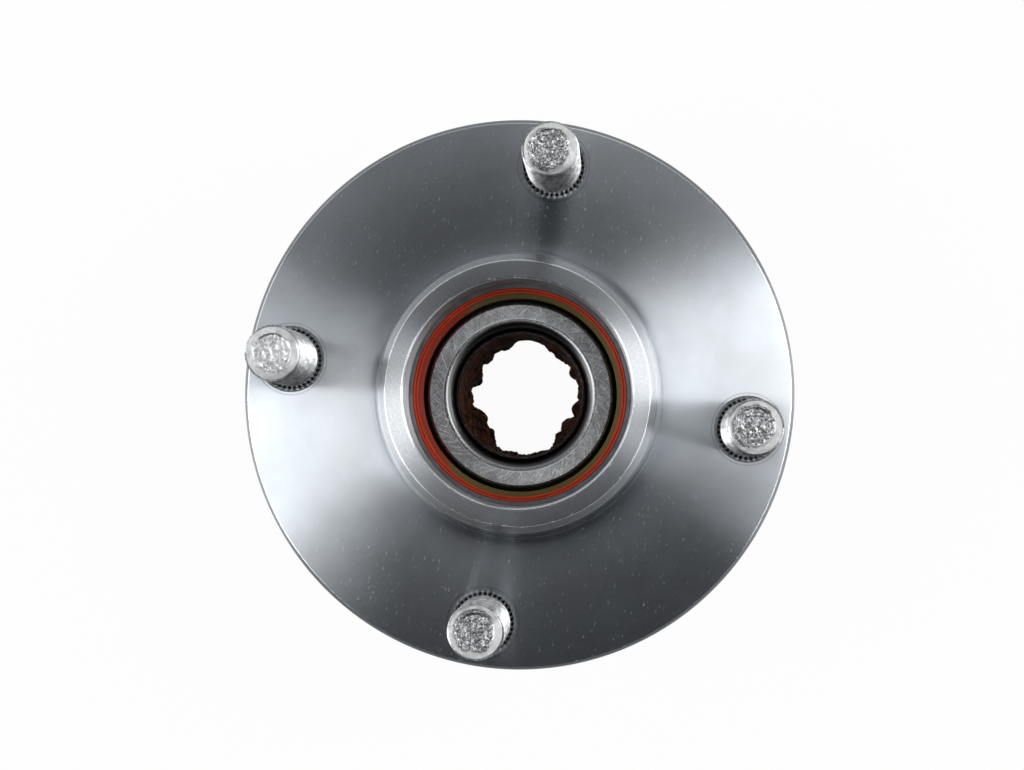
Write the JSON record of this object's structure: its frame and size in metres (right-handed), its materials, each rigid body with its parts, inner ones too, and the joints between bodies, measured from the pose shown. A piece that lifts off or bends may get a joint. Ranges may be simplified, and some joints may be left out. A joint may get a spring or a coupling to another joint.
{
  "type": "wheel hub bearing",
  "caption": "Flanged wheel hub with pressed wheel studs, a pilot collar, and a sealed double-row ball bearing in its barrel.",
  "frame": {"origin": "on the hub's axis, in the plane of the face that the wheel bolts against", "axes": "+Z along the hub's axis, towards the wheel and the stud tips; +X through one stud"},
  "size_m": [0.119, 0.119, 0.0835],
  "materials": {
    "turned_steel": "turned and faced, bare",
    "zinc_steel": "bright zinc plated",
    "bearing_steel": "ground",
    "ball_steel": "polished",
    "spring_steel": "dark phosphated",
    "seal_steel": "pressed sheet",
    "seal_rubber": "satin, orange-red",
    "cage_plastic": "natural nylon",
    "grease": "wet amber grease"
  },
  "bodies": {
    "axle_side": {"outboard_inner_ring": "bearing_steel", "inboard_inner_ring": "bearing_steel", "inner_ring_clip": "spring_steel", "outboard_slinger": "seal_steel", "inboard_slinger": "seal_steel"},
    "hub": {"wheel_hub": "turned_steel", "wheel_stud_1": "zinc_steel", "wheel_stud_2": "zinc_steel", "wheel_stud_3": "zinc_steel", "wheel_stud_4": "zinc_steel", "bearing_outer_ring": "bearing_steel", "retaining_circlip": "spring_steel", "outboard_seal_core": "seal_steel", "inboard_seal_core": "seal_steel", "outboard_seal_rubber": "seal_rubber", "inboard_seal_rubber": "seal_rubber"},
    "outboard_ball_row": {"outboard_cage": "cage_plastic", "outboard_ball_01": "ball_steel", "outboard_ball_02": "ball_steel", "outboard_ball_03": "ball_steel", "outboard_ball_04": "ball_steel", "outboard_ball_05": "ball_steel", "outboard_ball_06": "ball_steel", "outboard_ball_07": "ball_steel", "outboard_ball_08": "ball_steel", "outboard_ball_09": "ball_steel", "outboard_ball_10": "ball_steel", "outboard_ball_11": "ball_steel", "outboard_ball_12": "ball_steel"},
    "inboard_ball_row": {"inboard_cage": "cage_plastic", "inboard_ball_01": "ball_steel", "inboard_ball_02": "ball_steel", "inboard_ball_03": "ball_steel", "inboard_ball_04": "ball_steel", "inboard_ball_05": "ball_steel", "inboard_ball_06": "ball_steel", "inboard_ball_07": "ball_steel", "inboard_ball_08": "ball_steel", "inboard_ball_09": "ball_steel", "inboard_ball_10": "ball_steel", "inboard_ball_11": "ball_steel", "inboard_ball_12": "ball_steel"}
  },
  "joints": [
    {"name": "hub_spin", "type": "hinge", "parent": "axle_side", "child": "hub", "pos_m": [0, 0, -0.028], "axis": [0, 0, 1], "continuous": true},
    {"name": "outboard_row_spin", "type": "hinge", "parent": "axle_side", "child": "outboard_ball_row", "pos_m": [0, 0, -0.019], "axis": [0, 0, 1], "continuous": true},
    {"name": "inboard_row_spin", "type": "hinge", "parent": "axle_side", "child": "inboard_ball_row", "pos_m": [0, 0, -0.037], "axis": [0, 0, 1], "continuous": true}
  ],
  "couplings": [
    {"joint": "outboard_row_spin", "follows": "hub_spin", "ratio": 0.595},
    {"joint": "inboard_row_spin", "follows": "hub_spin", "ratio": 0.595}
  ]
}
